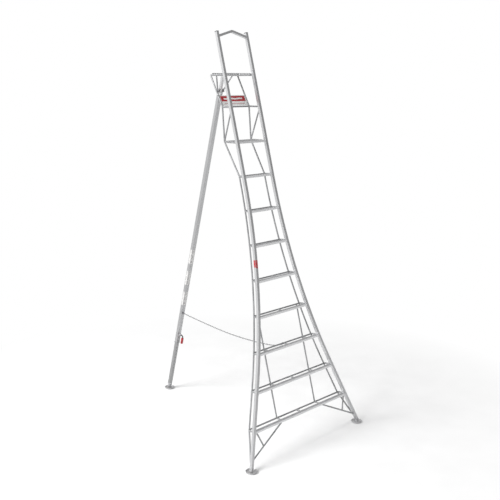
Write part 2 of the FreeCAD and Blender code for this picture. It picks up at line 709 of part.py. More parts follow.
def make_hinge(tray_rod):
    """The post under the tray, its two struts, and the bolt the third leg turns on."""
    half_x, half_y = size["post_width"] / 2, size["post_depth"] / 2
    top = (level_height(TRAY) - 6 - size["pivot_height"]) / math.cos(LEAN)
    bar = box("PostBar", Vector(-half_x, -half_y, 0), Vector(half_x, half_y, top), LEG_PLACE)
    end = doc.addObject("Part::Cylinder", "PostEnd")
    bind(end, Radius="Sizes.post_depth / 2", Height="Sizes.post_width")
    end.Placement = Placement(PIVOT - Vector(half_x, 0, 0), Rotation(Vector(0, 1, 0), 90))
    rod_y = slope_y(level_height(TRAY)) + REAR_DEPTH[TRAY]
    saddle = box("PostSaddle", Vector(-half_x, rod_y, level_height(TRAY) - 15),
                 Vector(half_x, rod_y + 33, level_height(TRAY) + 6))
    bore = cylinder("PostBore", PIVOT - Vector(30, 0, 0), PIVOT + Vector(30, 0, 0),
                    cell("bolt_radius"))
    keep("hinge_post", cut("HingePost", fuse("PostWhole", [bar, end, saddle]),
                           tray_rod, bore))
    turn = Rotation(Vector(0, 1, 0), 90)
    ear_out = size["leg_width"] / 2 + size["clear_gap"]
    reach = ear_out + size["strut_eye_width"]
    shaft = cylinder("BoltShaft", PIVOT - Vector(reach, 0, 0),
                     PIVOT + Vector(reach + 9, 0, 0), cell("bolt_radius"))
    for name, start in (("BoltHead", -reach - 6), ("NutBody", reach)):
        prism = doc.addObject("Part::Prism", name)
        prism.Polygon = 6
        prism.Circumradius = 9.2
        prism.Height = 6
        prism.Placement = Placement(PIVOT + Vector(start, 0, 0), turn)
    keep("hinge_bolt", fuse("HingeBolt", [shaft, doc.getObject("BoltHead")]))
    keep("hinge_nut", cut("HingeNut", doc.getObject("NutBody"), shaft))

    struts = []
    for side in (-1, 1):
        head = Vector(side * size["post_strut_spread"], rod_y, level_height(TRAY))
        foot = PIVOT + Vector(side * (ear_out + size["strut_eye_width"] / 2), 0, 0)
        bar = cylinder("PostStrut%d" % side, head, foot, cell("strut_radius"))
        eye = cylinder("StrutEye%d" % side, PIVOT + Vector(side * ear_out, 0, 0),
                       PIVOT + Vector(side * reach, 0, 0), cell("strut_eye_radius"))
        outside = box("StrutTrim%d" % side, PIVOT + Vector(side * reach - 20, -40, -40),
                      PIVOT + Vector(side * reach + 20, 40, 12))
        outside.Placement.Base += Vector(side * 20, 0, 0)
        struts.append(cut("StrutWhole%d" % side, fuse("StrutFuse%d" % side, [bar, eye]),
                          outside))
    keep("post_struts", cut("PostStruts", compound("PostStrutBars", struts), tray_rod, shaft))
    rings = []
    for side in (-1, 1):
        start = PIVOT + Vector(side * half_x, 0, 0)
        stop = PIVOT + Vector(side * (ear_out - size["leg_wall"] - 2 * size["clear_gap"]), 0, 0)
        ring = cylinder("Spacer%d" % side, start, stop, "Sizes.bolt_radius + 3")
        rings.append(ring)
    keep("hinge_spacers", cut("HingeSpacers", compound("SpacerRings", rings), shaft))


# ---------------------------------------------------------------- third leg

def leg_tube(name, width, depth, wall, start, end):
    """A rectangular tube along the third leg; start and end are depths."""
    body = new_body(name, LEG_PLACE)
    sketch = new_sketch(body, "XY_Plane", name + "Section")
    sketch.AttachmentOffset = Placement(Vector(0, 0, -start), Rotation())
    for inset in ("0", cell(wall)):
        x, y = (cell(s) + " / 2 - " + inset for s in (width, depth))
        add_rectangle(sketch, "-(%s)" % x, "-(%s)" % y, x, y)
    feature = pad(body, sketch, cell(width), symmetric=False, flip=True)
    feature.setExpression("Length", None)
    feature.Length = end - start
    return body


def make_outer_leg():
    """The upper tube: forked at the top, with a front window over its lower end."""
    half_x, half_y = size["leg_width"] / 2, size["leg_depth"] / 2
    top, bottom = -size["leg_top"], size["leg_length"]
    tube = leg_tube("OuterLeg", "leg_width", "leg_depth", "leg_wall", top, bottom)
    between = half_x - size["leg_wall"]
    fork = box("ForkGap", Vector(-between, -BIG, -size["ear_length"]),
               Vector(between, BIG, BIG), LEG_PLACE)
    window = box("LegWindow", Vector(-between, -BIG, -bottom - 1),
                 Vector(between, 0, -bottom + size["window_length"]), LEG_PLACE)
    square = box("EarSquare", Vector(-BIG, -BIG, size["leg_top"] - half_y),
                 Vector(BIG, BIG, BIG), LEG_PLACE)
    round_place = LEG_PLACE.multiply(Placement(Vector(-BIG, 0, size["leg_top"] - half_y),
                                               Rotation(Vector(0, 1, 0), 90)))
    ear_round = doc.addObject("Part::Cylinder", "EarRound")
    bind(ear_round, Radius="Sizes.leg_depth / 2")
    ear_round.Height = 2 * BIG
    ear_round.Placement = round_place
    corners = cut("EarCorners", square, ear_round)
    bolt_hole = cylinder("EarBore", PIVOT - Vector(40, 0, 0), PIVOT + Vector(40, 0, 0),
                         "Sizes.bolt_radius + Sizes.running_gap")
    lock = size["lock_depth"]
    pin_hole = cylinder("LockBore", on_leg(0, -half_y - 5, lock), on_leg(0, 0, lock),
                        "Sizes.pin_radius + Sizes.running_gap")
    keep("outer_leg", cut("OuterLegCut", tube, fork, window, corners, bolt_hole, pin_hole))

    thick, low = size["bush_thick"], 2 - bottom
    outer = box("BushOuter", Vector(-half_x - thick, -half_y - thick, low),
                Vector(half_x + thick, half_y + thick, low + size["bush_length"]), LEG_PLACE)
    inner = box("BushInner", Vector(-half_x, -half_y, -bottom),
                Vector(half_x, half_y, -bottom + 20), LEG_PLACE)
    keep("leg_end_bush", cut("LegEndBush", outer, inner))


def make_inner_leg():
    """The sliding tube, with a row of lock holes in its front wall."""
    body = leg_tube("InnerLeg", "inner_width", "inner_depth", "inner_wall",
                    size["inner_start"], size["inner_end"])
    holes = new_sketch(body, "XZ_Plane", "LockHoles")
    for step in range(-int(size["extend_holes"]), int(size["retract_holes"]) + 1):
        add_circle(holes, "0", "-(Sizes.lock_depth + %d * Sizes.hole_pitch)" % step,
                   cell("hole_radius"))
    pocket(body, holes, cell("inner_depth"), symmetric=False, flip=True)
    keep("inner_leg", body)


def make_lock():
    """The sprung lock pin, its housing, and the pull handle with its grip."""
    lock = LEG_PLACE.multiply(Placement(Vector(0, 0, -size["lock_depth"]), Rotation()))
    depth = size["lock_depth"]
    wall = size["leg_depth"] / 2
    end = wall + size["housing_length"]

    def along(name, near, far, radius):
        return cylinder(name, on_leg(0, -near, depth), on_leg(0, -far, depth), radius)

    shell = along("HousingShell", wall, end, cell("housing_radius"))
    chamber = along("HousingChamber", wall, end - 3, cell("chamber_radius"))
    guide = along("HousingGuide", wall, end, "Sizes.pin_radius + Sizes.running_gap")
    keep("lock_housing", cut("LockHousing", shell, chamber, guide))

    tip = size["inner_depth"] / 2 + size["pin_rest_gap"]
    collar = wall + size["collar_stand"]
    collar_end = collar + size["collar_thick"]
    reach, drop, bend = size["handle_reach"], size["handle_drop"], size["handle_bend"]
    neck = end + size["handle_stand"]
    pin = along("LockPinBar", tip, neck, cell("pin_radius"))
    ring = along("LockCollar", collar, collar_end, "Sizes.chamber_radius - 0.3")
    handle = new_body("PullHandle", lock)
    path = new_sketch(handle, "YZ_Plane", "HandlePath")
    start, corner = Vector(-neck, 0, 0), Vector(-reach + bend, -bend, 0)
    turn = Part.Circle(corner, Vector(0, 0, 1), bend)
    add_outline(path, [
        Part.LineSegment(start, corner + Vector(0, bend, 0)),
        Part.ArcOfCircle(turn, math.pi / 2, math.pi),
        Part.LineSegment(corner - Vector(bend, 0, 0), Vector(-reach, -drop, 0))])
    section = new_sketch(handle, "XZ_Plane", "HandleSection")
    section.AttachmentOffset = Placement(Vector(0, 0, neck), Rotation())
    add_circle(section, "0", "0", cell("handle_radius"))
    pipe = handle.newObject("PartDesign::AdditivePipe", "HandlePipe")
    pipe.Profile = section
    pipe.Spine = path
    path.Visibility = section.Visibility = False
    keep("lock_pin", fuse("LockPin", [pin, ring, handle]))

    grip = new_body("PullGrip", lock.multiply(Placement(Vector(0, -reach, -drop), Rotation())))
    outline = new_sketch(grip, "XZ_Plane", "GripOutline")
    radius, length, hole = size["grip_radius"], size["grip_length"], size["handle_radius"]
    low = -4.0
    soft = 4.0
    add_outline(outline, [
        Part.LineSegment(Vector(0, 0, 0), Vector(0, low, 0)),
        Part.LineSegment(Vector(0, low, 0), Vector(radius - soft, low, 0)),
        Part.ArcOfCircle(Part.Circle(Vector(radius - soft, low + soft, 0), Vector(0, 0, 1),
                                     soft), -math.pi / 2, 0),
        Part.LineSegment(Vector(radius, low + soft, 0), Vector(radius, low + length - soft, 0)),
        Part.ArcOfCircle(Part.Circle(Vector(radius - soft, low + length - soft, 0),
                                     Vector(0, 0, 1), soft), 0, math.pi / 2),
        Part.LineSegment(Vector(radius - soft, low + length, 0), Vector(hole, low + length, 0)),
        Part.LineSegment(Vector(hole, low + length, 0), Vector(hole, 0, 0)),
        Part.LineSegment(Vector(hole, 0, 0), Vector(0, 0, 0))])
    revolve(grip, outline, "V_Axis")
    keep("pull_grip", grip)

    spring = new_body("LockSpring", lock.multiply(
        Placement(Vector(0, -collar_end, 0), Rotation(Vector(1, 0, 0), 90))))
    coil = new_sketch(spring, "XZ_Plane", "SpringWire")
    wire = size["spring_wire"]
    room = end - 3 - collar_end
    add_circle(coil, "Sizes.chamber_radius - 0.5 - Sizes.spring_wire",
               "Sizes.spring_wire + 0.05", cell("spring_wire"))
    helix = spring.newObject("PartDesign::AdditiveHelix", "SpringHelix")
    helix.Profile = coil
    helix.ReferenceAxis = (coil, ["V_Axis"])
    helix.Mode = 0
    helix.Height = room - 2 * wire - 0.1
    helix.Pitch = helix.Height / 4.5
    coil.Visibility = False
    keep("lock_spring", spring)


# ---------------------------------------------------------------- feet

def make_foot(name, ankle, end_place, end_gap, half_x, half_y, wall):
    """A forked plug that carries a tube down to its ankle, and a dished disc on a lug."""
    side = Vector(1, 0, 0)
    drop, rise = size["clevis_drop"], size["clevis_rise"]
    slot = size["lug_width"] / 2 + size["clear_gap"]
    stem = box(name + "Stem", Vector(-half_x + wall, -half_y + wall, end_gap - 1),
               Vector(half_x - wall, half_y - wall, end_gap + size["plug_length"]), end_place)
    block = box(name + "Block", Vector(-half_x, -half_y, -3 * drop),
                Vector(half_x, half_y, end_gap), end_place)
    below = box(name + "Below", ankle + Vector(-60, -60, -60), ankle + Vector(60, 60, -drop))
    gap = box(name + "Gap", ankle + Vector(-slot, -60, -60), ankle + Vector(slot, 60, rise))
    reach = half_x + 2.5
    bore = cylinder(name + "Bore", ankle - side * 40, ankle + side * 40, cell("ankle_pin"))
    keep(name + "_plug", cut(name + "Plug", fuse(name + "PlugWhole", [stem, block]),
                             below, gap, bore))
    keep(name + "_pin", cylinder(name + "Pin", ankle - side * reach, ankle + side * reach,
                                 cell("ankle_pin")))

    base = Vector(ankle.x, ankle.y, 0)
    body = new_body(name + "Dish", Placement(base, Rotation()))
    outline = new_sketch(body, "XZ_Plane", name + "DishOutline")
    outer, thick, rim = size["foot_radius"], size["foot_thick"], size["foot_rim"]
    flat = outer - 13
    add_outline(outline, polygon([
        (0, 0), (flat, 0), (outer - 4, 4.5), (outer, rim - 2), (outer - 1, rim),
        (outer - 3, rim), (outer - 7, 5 + thick - 1), (flat - 2, thick), (0, thick)]))
    revolve(body, outline, "V_Axis")
    half, round_top = size["lug_width"] / 2, size["lug_radius"]
    web = box(name + "LugWeb", base + Vector(-half, -round_top, 1),
              base + Vector(half, round_top, size["ankle_height"]))
    top = cylinder(name + "LugTop", ankle - side * half, ankle + side * half,
                   cell("lug_radius"))
    free = cylinder(name + "LugBore", ankle - side * 20, ankle + side * 20,
                    "Sizes.ankle_pin + Sizes.running_gap")
    keep(name + "_pad", cut(name + "Pad", fuse(name + "PadWhole", [body, web, top]), free))


def make_feet():
    along = size["ankle_height"] / math.cos(LEAN)
    gap = (size["stile_start"] - along) / math.cos(BEND)
    half = size["stile_width"] / 2
    for sign, name in ((-1, "left_foot"), (1, "right_foot")):
        ankle = on_frame(sign * half_width(along), along)
        turn = Rotation(Vector(1, 0, 0), -size["lean"]).multiply(
            Rotation(Vector(0, 1, 0), -sign * size["bend_angle"]))
        make_foot(name, ankle, Placement(ankle, turn), gap, half, half, size["stile_wall"])
    depth = (size["pivot_height"] - size["ankle_height"]) / math.cos(LEAN)
    ankle = on_leg(0, 0, depth)
    make_foot("rear_foot", ankle, Placement(ankle, LEG_PLACE.Rotation),
              depth - size["inner_end"], size["inner_width"] / 2, size["inner_depth"] / 2,
              size["inner_wall"])


# ---------------------------------------------------------------- spreader chain

CHAIN_ROUTE = [
    (682, 855), (607, 846), (530, 838), (452, 831), (373, 823.5), (294, 817), (214, 810.5),
    (134, 805), (54, 801), (-27, 799), (-108, 798), (-188, 799.5), (-267, 802),
    (-344, 805), (-419, 810), (-490, 817), (-553, 826), (-602, 839), (-630, 853)]


def make_chain():
    """A sagging chain from the third leg to the third tread, and its two eyes."""
    (first_y, _), (last_y, _) = CHAIN_ROUTE[0], CHAIN_ROUTE[-1]
    drift = size["clip_offset"] / (first_y - last_y)
    points = [Vector((y - first_y) * drift, y, z) for y, z in CHAIN_ROUTE]
    corners = list(zip(points, points[1:], points[2:]))
    trims = [0.45 * min((at - before).Length, (after - at).Length)
             for before, at, after in corners]
    least = min(trim / math.tan(turn_at(*corner) / 2)
                for trim, corner in zip(trims, corners))
    edges = rounded_path(points, trims)
    chain = keep("spreader_chain", swept_bar("SpreaderChain", edges, cell("chain_radius")))
    doc.recompute()
    length = sum(edge.Length for edge in edges)
    area = math.pi * size["chain_radius"] ** 2
    print("chain length %.0f, volume ratio %.4f, least radius %.0f"
          % (length, chain.Shape.Volume / area / length, least))

    wire_radius, eye = size["eye_wire"], size["eye_radius"]
    front = size["leg_depth"] / 2
    depth = (size["pivot_height"] - size["leg_eye_height"]) / math.cos(LEAN)
    plate = box("EyePlate", Vector(-9, -front - 2.5, -depth - 14),
                Vector(9, -front, -depth + 14), LEG_PLACE)
    for name, centre in (("LegRing", on_leg(0, -front - 1.5 - eye, depth)),
                         ("TreadRing", points[-1] + Vector(0, -9, 6))):
        torus = doc.addObject("Part::Torus", name)
        torus.Radius1 = eye - wire_radius / 2
        torus.Radius2 = wire_radius / 2
        torus.Placement = Placement(centre, Rotation(Vector(0, 1, 0), 90))
    keep("leg_chain_eye", fuse("LegChainEye", [plate, doc.getObject("LegRing")]))
    height = level_height(3)
    rod = Vector(-size["clip_offset"], slope_y(height) + REAR_DEPTH[3], height)
    band = cylinder("ClipBand", rod - Vector(5, 0, 0), rod + Vector(5, 0, 0),
                    "Sizes.rod_radius + 2.2")
    whole = fuse("TreadClipWhole", [band, doc.getObject("TreadRing")])
    hole = cylinder("ClipHole", rod - Vector(9, 0, 0), rod + Vector(9, 0, 0),
                    cell("rod_radius"))
    keep("tread_chain_clip", cut("TreadChainClip", whole, hole))


outside_stiles, stile_slab = make_templates()
make_stiles()
left_rod = cut("LeftSideRodCut", bent_side_rod(-1), stile_slab)
right_rod = mirror("RightSideRod", left_rod)
both_rods = compound("BothSideRods", [left_rod, right_rod])
keep("left_side_rod", left_rod)
keep("right_side_rod", right_rod)
rear_rods = make_treads(outside_stiles, stile_slab, both_rods)
make_centre_struts(rear_rods)
make_tread_ties(rear_rods)
make_braces(outside_stiles)
make_knee_struts(rear_rods, stile_slab, both_rods)
make_handrail()
make_caps()
make_tray()
make_name_plate()
make_hinge(rear_rods[TRAY])
make_outer_leg()
make_inner_leg()
make_lock()
make_feet()
make_chain()

doc.recompute()
os.makedirs("parts", exist_ok=True)
for label, part in nodes.items():
    bad = [s for s in part.State if s in ("Invalid", "Error")]
    if bad or part.Shape.isNull() or not part.Shape.isValid():
        raise RuntimeError("%s is not a valid part: %s" % (label, part.State))
    part.Shape.exportStep("parts/%s.step" % label)
    print(label, len(part.Shape.Solids), round(part.Shape.Volume))
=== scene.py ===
import json
import math

import bmesh
import bpy
from bpy.props import FloatProperty, FloatVectorProperty, IntProperty, PointerProperty
from mathutils import Matrix, Vector


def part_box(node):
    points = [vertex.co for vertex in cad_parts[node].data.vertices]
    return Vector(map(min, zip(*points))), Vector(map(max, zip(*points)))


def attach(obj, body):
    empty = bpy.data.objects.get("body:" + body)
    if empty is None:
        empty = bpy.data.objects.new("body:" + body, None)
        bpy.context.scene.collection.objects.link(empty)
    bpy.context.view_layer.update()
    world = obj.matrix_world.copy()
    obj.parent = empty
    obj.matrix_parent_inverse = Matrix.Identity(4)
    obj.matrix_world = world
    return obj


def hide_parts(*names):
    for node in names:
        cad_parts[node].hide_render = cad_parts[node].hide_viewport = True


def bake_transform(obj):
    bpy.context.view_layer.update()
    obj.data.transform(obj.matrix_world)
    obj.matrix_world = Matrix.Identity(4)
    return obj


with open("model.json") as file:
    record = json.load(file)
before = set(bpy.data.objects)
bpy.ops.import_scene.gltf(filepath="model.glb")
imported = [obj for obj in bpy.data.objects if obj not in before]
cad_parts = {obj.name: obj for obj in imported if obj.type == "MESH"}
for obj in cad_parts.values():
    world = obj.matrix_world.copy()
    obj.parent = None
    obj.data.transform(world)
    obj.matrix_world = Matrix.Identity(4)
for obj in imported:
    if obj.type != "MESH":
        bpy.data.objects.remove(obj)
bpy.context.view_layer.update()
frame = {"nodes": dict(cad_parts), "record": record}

bl_info = {
    "name": "Orchard Tripod Ladder",
    "version": (1, 0, 0),
    "blender": (4, 5, 0),
    "location": "3D View > Sidebar > Ladder",
    "description": "Finishes, chain, welds, labels and studio for an orchard tripod ladder",
    "category": "Object",
}

# The row frame: metres, +Z up, +X to the climber's right, +Y towards the third leg.
FRAME, LEG = "ladder_frame", "rear_leg"
LEAN = math.radians(15)
HALF_SPREAD = -(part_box("left_foot_pad")[0][1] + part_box("left_foot_pad")[1][1]) / 2
ANKLE_HEIGHT = 0.028
HALF_SPREAD += ANKLE_HEIGHT * math.tan(LEAN)
TREAD_COUNT = 9
ROD_RADIUS = 0.007
TIE_RADIUS = 0.006
TIE_PLACE = 0.25
STILE_HALF = 0.0125
FLOOR_NEAR, FLOOR_FAR = 1.6, 3.4
INNER_LEG_HOLLOW = (0.0165, 0.0115)


# ---------------------------------------------------------------- geometry of the frame

def slope_y(height):
    """Where the stiles' centre plane is at a height."""
    return -HALF_SPREAD + height * math.tan(LEAN)


def leg_y(height):
    """Where the third leg's axis is at a height."""
    return HALF_SPREAD - height * math.tan(LEAN)


def node_middle(node):
    low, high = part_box(node)
    return (Vector(low) + Vector(high)) / 2


def leg_matrix(height):
    """A place on the third leg: local Z runs up the leg, local -Y faces the treads."""
    turn = Matrix.Rotation(LEAN, 4, "X")
    return Matrix.Translation((0, leg_y(height), height)) @ turn


# ---------------------------------------------------------------- shader helper

class Value:
    """A node socket that can be used in ordinary arithmetic."""

    def __init__(self, shader, socket):
        self.shader = shader
        self.socket = socket

    def _math(self, operation, *operands):
        return self.shader.node("ShaderNodeMath", {"operation": operation}, *operands)

    def __add__(self, other):
        return self._math("ADD", self, other)

    def __radd__(self, other):
        return self._math("ADD", other, self)

    def __sub__(self, other):
        return self._math("SUBTRACT", self, other)

    def __rsub__(self, other):
        return self._math("SUBTRACT", other, self)

    def __mul__(self, other):
        return self._math("MULTIPLY", self, other)

    def __rmul__(self, other):
        return self._math("MULTIPLY", other, self)

    def __truediv__(self, other):
        return self._math("DIVIDE", self, other)

    def __pow__(self, other):
        return self._math("POWER", self, other)

    def above(self, level):
        return self._math("GREATER_THAN", self, level)

    def below(self, level):
        return self._math("LESS_THAN", self, level)

    def wave(self):
        return self._math("SINE", self)

    def size(self):
        return self._math("ABSOLUTE", self)

    def fraction(self):
        return self._math("FRACT", self)

    def most(self, other):
        return self._math("MAXIMUM", self, other)


class Shader:
    """One material, built from named node types and values."""

    def __init__(self, name):
        self.material = bpy.data.materials.new(name)
        self.material.use_nodes = True
        self.tree = self.material.node_tree
        self.surface = self.tree.nodes["Principled BSDF"]
        self.place = self.node("ShaderNodeTexCoord", {}, output="Object")

    def node(self, kind, settings, *inputs, output=0, **named):
        """Adds a node; its settings come first, then its inputs by order or by name."""
        made = self.tree.nodes.new(kind)
        for key, value in settings.items():
            setattr(made, key, value)
        for index, value in enumerate(inputs):
            self.feed(made.inputs[index], value)
        for key, value in named.items():
            self.feed(made.inputs[key.replace("_", " ")], value)
        return Value(self, made.outputs[output])

    def feed(self, socket, value):
        if isinstance(value, Value):
            self.tree.links.new(value.socket, socket)
        else:
            socket.default_value = value

    def noise(self, scale, detail=3.0, stretch=(1, 1, 1), turn=(0, 0, 0)):
        """Noise on Object coordinates; stretch above 1 makes it finer along that axis."""
        settings = {"vector_type": "POINT"}
        place = self.node("ShaderNodeMapping", settings, Vector=self.place, Rotation=turn)
        place = self.node("ShaderNodeMapping", settings, Vector=place, Scale=stretch)
        return self.node("ShaderNodeTexNoise", {}, Vector=place, Scale=scale, Detail=detail)

    def ramp(self, value, low, high, start=0.0, end=1.0):
        settings = {"interpolation_type": "LINEAR", "clamp": True}
        return self.node("ShaderNodeMapRange", settings, value, low, high, start, end)

    def blend(self, factor, first, second):
        """Mixes two colours."""
        settings = {"data_type": "RGBA"}
        made = self.tree.nodes.new("ShaderNodeMix")
        for key, value in settings.items():
            setattr(made, key, value)
        self.feed(made.inputs[0], factor)
        self.feed(made.inputs[6], first)
        self.feed(made.inputs[7], second)
        return Value(self, made.outputs[2])

    def axis(self, name, source=None):
        split = self.tree.nodes.new("ShaderNodeSeparateXYZ")
        self.feed(split.inputs[0], source or self.place)
        return Value(self, split.outputs[name])

    def bump(self, height, distance, strength=1.0):
        return self.node("ShaderNodeBump", {}, output="Normal", Height=height,
                         Distance=distance, Strength=strength)

    def finish(self, colour, roughness, metallic=0.0, normal=None, coat=0.0):
        self.feed(self.surface.inputs["Base Color"], colour)
        self.feed(self.surface.inputs["Roughness"], roughness)
        self.feed(self.surface.inputs["Metallic"], metallic)
        self.feed(self.surface.inputs["Coat Weight"], coat)
        if normal is not None:
            self.feed(self.surface.inputs["Normal"], normal)
        return self.material


def shade(colour, factor):
    return tuple(channel * factor for channel in colour[:3]) + (1.0,)


# ---------------------------------------------------------------- finishes

def extruded_aluminium(name, colour, along, roughness=0.36, hollow=None):
    """Satin extrusion: die lines along its length, soft blotches and a few scuffs.

    hollow gives a leg tube's inner half width and half depth; within it the colour is painted
    near black as shade, and the surface is made duller."""
    shader = Shader(name)
    turn = {"stile": (LEAN, 0, 0), "leg": (-LEAN, 0, 0), "rail": (0, 0, 0)}[along]
    fine = (1, 40, 40) if along == "rail" else (40, 40, 1)
    lines = shader.noise(24, 4, fine, turn)
    blotch = shader.noise(3.2, 5)
    scuff = shader.ramp(shader.noise(38, 8, turn=turn), 0.62, 0.75)
    tone = shader.ramp(lines * 0.5 + blotch * 0.5, 0.32, 0.68)
    base = shader.blend(tone, shade(colour, 0.93), shade(colour, 1.06))
    base = shader.blend(scuff * 0.25, base, shade(colour, 0.72))
    rough = roughness - 0.06 + lines * 0.12 + scuff * 0.16 + blotch * 0.06
    if hollow is not None:
        off_axis = (shader.axis("Y") - HALF_SPREAD) * math.cos(LEAN)
        off_axis = off_axis + shader.axis("Z") * math.sin(LEAN)
        # painted shade: the tube's hollow is coloured near black to stand in for the shade on
        # its inner walls
        tube_shade_mask = shader.axis("X").size().below(hollow[0]) * off_axis.size().below(hollow[1])
        base = shader.blend(tube_shade_mask, base, shade(colour, 0.08))
        rough = rough + tube_shade_mask * 0.35
    return shader.finish(base, rough, 0.92, shader.bump(lines, 0.00005, 0.35))


def drawn_bar(name, colour):
    """Mill-finished round bar: cloudy and slightly rough."""
    shader = Shader(name)
    cloud = shader.noise(9, 6)
    grain = shader.noise(420, 3)
    base = shader.blend(shader.ramp(cloud, 0.35, 0.65), shade(colour, 0.82), shade(colour, 1.1))
    rough = 0.34 + cloud * 0.2 + grain * 0.06
    return shader.finish(base, rough, 0.9, shader.bump(grain, 0.00008, 0.5))


def pressed_foot(name, colour):
    """Pressed aluminium foot: scuffed, with dried soil where it meets the ground."""
    shader = Shader(name)
    height = shader.axis("Z")
    scratch = shader.noise(160, 5, (1, 6, 1))
    cloud = shader.noise(30, 6)
    soil = shader.ramp(height, 0.0, 0.012, 1.0, 0.0) * shader.ramp(cloud, 0.48, 0.66)
    base = shader.blend(shader.ramp(scratch, 0.35, 0.7), shade(colour, 0.8), shade(colour, 1.15))
    base = shader.blend(soil * 0.7, base, (0.16, 0.13, 0.1, 1))
    return shader.finish(base, 0.38 + cloud * 0.15 + soil * 0.3, 0.88 - soil * 0.6,
                         shader.bump(scratch, 0.0001, 0.6))


def zinc_plate(name, colour):
    """Zinc-plated steel: fine crystal cells in slightly different greys."""
    shader = Shader(name)
    settings = {"feature": "F1"}
    cells = shader.node("ShaderNodeTexVoronoi", settings, output="Color",
                        Vector=shader.place, Scale=340.0)
    tone = shader.axis("X", cells)
    stain = shader.noise(70, 4)
    base = shader.blend(tone, shade(colour, 0.75), shade(colour, 1.12))
    return shader.finish(base, 0.26 + tone * 0.14 + stain * 0.14, 0.95,
                         shader.bump(stain, 0.00006, 0.4))


def powder_black(name, colour):
    """Black powder coat with a fine orange peel, rubbed paler in patches."""
    shader = Shader(name)
    peel = shader.noise(900, 2)
    rub = shader.ramp(shader.noise(60, 5), 0.6, 0.75)
    base = shader.blend(rub * 0.4, shade(colour, 1.0), (0.14, 0.14, 0.14, 1))
    return shader.finish(base, 0.42 + peel * 0.14 + rub * 0.12, 0.0,
                         shader.bump(peel, 0.0001, 0.5), 0.15)


def moulded_plastic(name, colour):
    """Moulded plastic with a fine spark-eroded grain."""
    shader = Shader(name)
    grain = shader.noise(1300, 2)
    wear = shader.noise(45, 4)
    base = shader.blend(shader.ramp(wear, 0.4, 0.7), shade(colour, 1.0), shade(colour, 1.5))
    return shader.finish(base, 0.45 + grain * 0.15, 0.0, shader.bump(grain, 0.00012, 0.6))


def dipped_vinyl(name, colour):
    """Red dipped vinyl: glossy, slightly uneven and darker in patches."""
    shader = Shader(name)
    flow = shader.noise(55, 3)
    speck = shader.noise(700, 2)
    base = shader.blend(shader.ramp(flow, 0.35, 0.7), shade(colour, 0.75), shade(colour, 1.15))
    return shader.finish(base, 0.28 + speck * 0.12 + flow * 0.1, 0.0,
                         shader.bump(flow, 0.0004, 0.4), 0.3)


def enamel_plate(name, white, red):
    """White enamel plate with a red panel, a pale bar in it and a thin rule below."""
    shader = Shader(name)
    low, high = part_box("name_plate")
    across = shader.axis("X") / high[0]
    up = (shader.axis("Z") - low[2]) / (high[2] - low[2])
    in_panel = across.size().below(0.94) * up.above(0.42) * up.below(0.93)
    wave = (across * 9.0).wave() * 0.02
    in_bar = across.size().below(0.72) * (up - 0.675 + wave).size().below(0.07)
    rule = across.size().below(0.8) * (up - 0.2).size().below(0.025)
    dirt = shader.ramp(shader.noise(26, 6), 0.5, 0.8)
    peel = shader.noise(500, 2)
    ink = in_panel * (1 - in_bar)
    base = shader.blend(ink, white, red)
    base = shader.blend(rule * 0.8, base, shade(red, 0.8))
    base = shader.blend(dirt * 0.12, base, (0.3, 0.28, 0.26, 1))
    return shader.finish(base, 0.3 + dirt * 0.2 + peel * 0.06, 0.0,
                         shader.bump(peel, 0.00006, 0.4), 0.25)


def printed_label(name, paper, ink, rows):
    """A printed sticker: plain icons and rules on its own UV map, rubbed in patches."""
    shader = Shader(name)
    place = shader.node("ShaderNodeUVMap", {"uv_map": "Label"})
    across, up = shader.axis("X", place), shader.axis("Y", place)
    row = (up * rows).fraction()
    icon = ((across - 0.3) ** 2.0 * 5.0 + (row - 0.55) ** 2.0 * 2.2).below(0.16)
    hole = ((across - 0.3) ** 2.0 * 5.0 + (row - 0.55) ** 2.0 * 2.2).below(0.045)
    lines = across.above(0.56) * across.below(0.92) * (row * 5.0).fraction().below(0.4)
    frame_line = (across - 0.5).size().above(0.46).most((up - 0.5).size().above(0.485))
    ink_mask = (icon * (1 - hole)).most(lines * 0.6).most(frame_line)
    rub = shader.ramp(shader.noise(120, 6), 0.55, 0.7)
    base = shader.blend(ink_mask * (1 - rub * 0.5), paper, ink)
    return shader.finish(base, 0.38 + rub * 0.2, 0.0, shader.bump(rub, 0.00004, 0.3), 0.1)


def weld_metal(name, colour):
    """Stacked-coin weld bead, brighter than the bars it joins."""
    shader = Shader(name)
    ripple = shader.noise(260, 3)
    base = shader.blend(shader.ramp(ripple, 0.35, 0.7), shade(colour, 0.72), shade(colour, 1.1))
    return shader.finish(base, 0.3 + ripple * 0.25, 0.9, shader.bump(ripple, 0.0004, 0.8))


# ---------------------------------------------------------------- mesh helpers

def new_object(name, mesh):
    made = bpy.data.objects.new(name, mesh)
    bpy.context.scene.collection.objects.link(made)
    return made


def mesh_object(name, work, material, smooth=True):
    """Turns a bmesh into a finished object at the origin."""
    bmesh.ops.recalc_face_normals(work, faces=work.faces)
    mesh = bpy.data.meshes.new(name)
    work.to_mesh(mesh)
    work.free()
    mesh.materials.append(material)
    if smooth:
        mesh.shade_smooth()
    return new_object(name, mesh)


def lathe(name, profile, place, material, steps=32):
    """Turns a profile of (radius, height) points about a place's Z axis."""
    work = bmesh.new()
    rings = []
    for radius, height in profile:
        ring = []
        for step in range(steps):
            angle = math.tau * step / steps
            point = Vector((radius * math.cos(angle), radius * math.sin(angle), height))
            ring.append(work.verts.new(place @ point))
        rings.append(ring)
    for low, high in zip(rings, rings[1:]):
        for step in range(steps):
            after = (step + 1) % steps
            work.faces.new((low[step], low[after], high[after], high[step]))
    work.faces.new(rings[0])
    work.faces.new(rings[-1])
    return mesh_object(name, work, material)


def dress(node, material):
    slots = frame["nodes"][node].material_slots
    for slot in slots:
        slot.material = material
    if not slots:
        frame["nodes"][node].data.materials.append(material)


